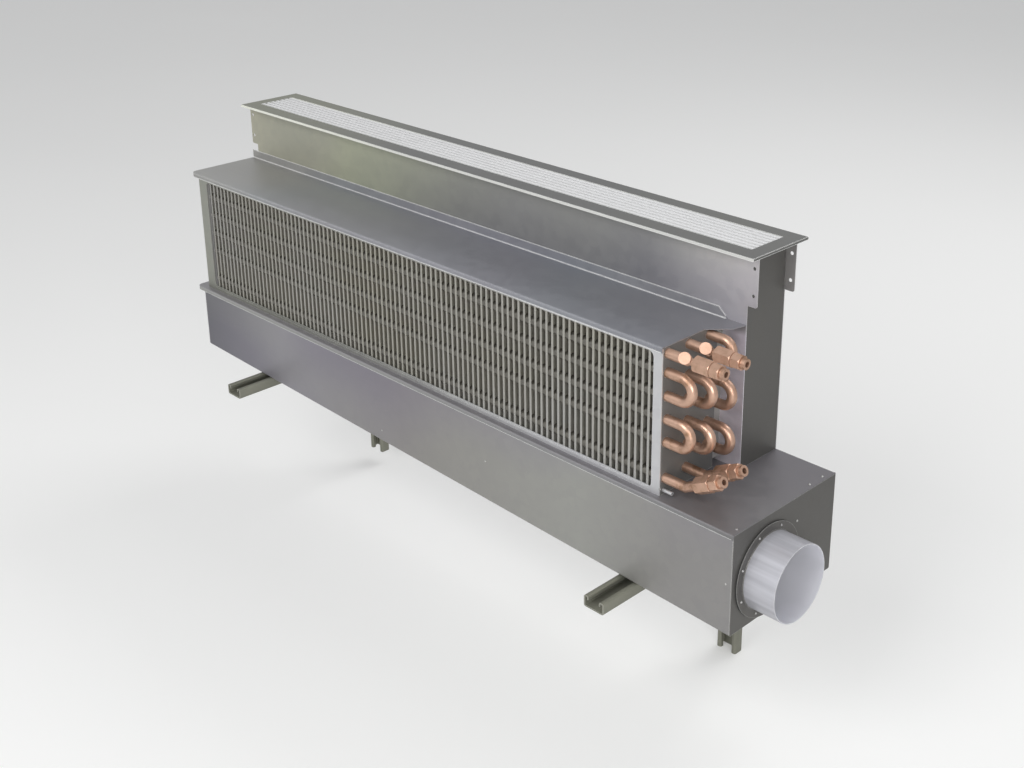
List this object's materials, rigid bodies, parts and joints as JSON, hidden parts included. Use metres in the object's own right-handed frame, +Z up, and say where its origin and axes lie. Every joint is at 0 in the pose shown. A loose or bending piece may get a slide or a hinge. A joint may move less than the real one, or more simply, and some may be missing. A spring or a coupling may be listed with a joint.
{
  "type": "air induction unit",
  "caption": "Wall-hung air induction unit: supply plenum with round inlet, finned coil with pipe unions, discharge neck with lift-out linear grille, on two channel brackets.",
  "frame": {"origin": "centre of the four wall bolt holes on the wall plane, midway between the two posts", "axes": "+X along the unit towards the duct inlet, +Y into the wall, +Z up"},
  "size_m": [1.483, 0.364, 0.803],
  "materials": {
    "galvanised_sheet": "satin",
    "coil_casing": "satin",
    "fins": "satin",
    "copper": "satin",
    "brass": "satin",
    "liner": "matte",
    "rubber": "matte",
    "nozzles": "matte",
    "grille_white": "satin",
    "bracket_steel": "satin",
    "fasteners": "satin"
  },
  "bodies": {
    "unit": {"plenum_trough": "galvanised_sheet", "plenum_top_panel": "galvanised_sheet", "plenum_left_cap": "galvanised_sheet", "plenum_right_cap": "galvanised_sheet", "inlet_spigot": "galvanised_sheet", "nozzle_plate": "galvanised_sheet", "shelf_cover": "galvanised_sheet", "shelf_corner": "galvanised_sheet", "outlet_collar": "galvanised_sheet", "neck_front_panel": "galvanised_sheet", "neck_back_panel": "galvanised_sheet", "neck_left_end": "galvanised_sheet", "neck_right_end": "galvanised_sheet", "coil_face_frame": "coil_casing", "coil_left_tube_sheet": "coil_casing", "coil_end_cover": "coil_casing", "coil_right_tube_sheet": "coil_casing", "coil_top_plate": "coil_casing", "coil_bottom_plate": "coil_casing", "coil_fins": "fins", "coil_tubes": "copper", "return_bends": "copper", "lower_elbows": "copper", "upper_connectors": "brass", "union_bodies": "brass", "union_tails": "brass", "drain_stub": "brass", "base_liner": "liner", "back_liner": "liner", "spigot_gasket": "rubber", "left_arm_pad": "rubber", "right_arm_pad": "rubber", "primary_nozzles": "nozzles", "left_arm": "bracket_steel", "left_arm_plate": "bracket_steel", "left_post": "bracket_steel", "right_arm": "bracket_steel", "right_arm_plate": "bracket_steel", "right_post": "bracket_steel", "plate_bolts": "fasteners", "channel_nuts": "fasteners", "hold_down_bolts": "fasteners"},
    "grille": {"grille_frame": "galvanised_sheet", "grille_bars": "grille_white", "grille_cross_rods": "grille_white"},
    "upper_front_nut": {"upper_front_nut": "brass"},
    "upper_rear_nut": {"upper_rear_nut": "brass"},
    "lower_front_nut": {"lower_front_nut": "brass"},
    "lower_rear_nut": {"lower_rear_nut": "brass"}
  },
  "joints": [
    {"name": "grille_lift", "type": "slide", "parent": "unit", "child": "grille", "axis": [0, 0, 1], "range_m": [0, 0.06]},
    {"name": "upper_front_turn", "type": "hinge", "parent": "unit", "child": "upper_front_nut", "pos_m": [0.604, -0.2685, 0.45], "axis": [1, 0, 0], "continuous": true},
    {"name": "upper_rear_turn", "type": "hinge", "parent": "unit", "child": "upper_rear_nut", "pos_m": [0.604, -0.2205, 0.45], "axis": [1, 0, 0], "continuous": true},
    {"name": "lower_front_turn", "type": "hinge", "parent": "unit", "child": "lower_front_nut", "pos_m": [0.61428, -0.2685, 0.25535], "axis": [0.891, 0, 0.454], "continuous": true},
    {"name": "lower_rear_turn", "type": "hinge", "parent": "unit", "child": "lower_rear_nut", "pos_m": [0.61428, -0.2205, 0.25535], "axis": [0.891, 0, 0.454], "continuous": true}
  ]
}
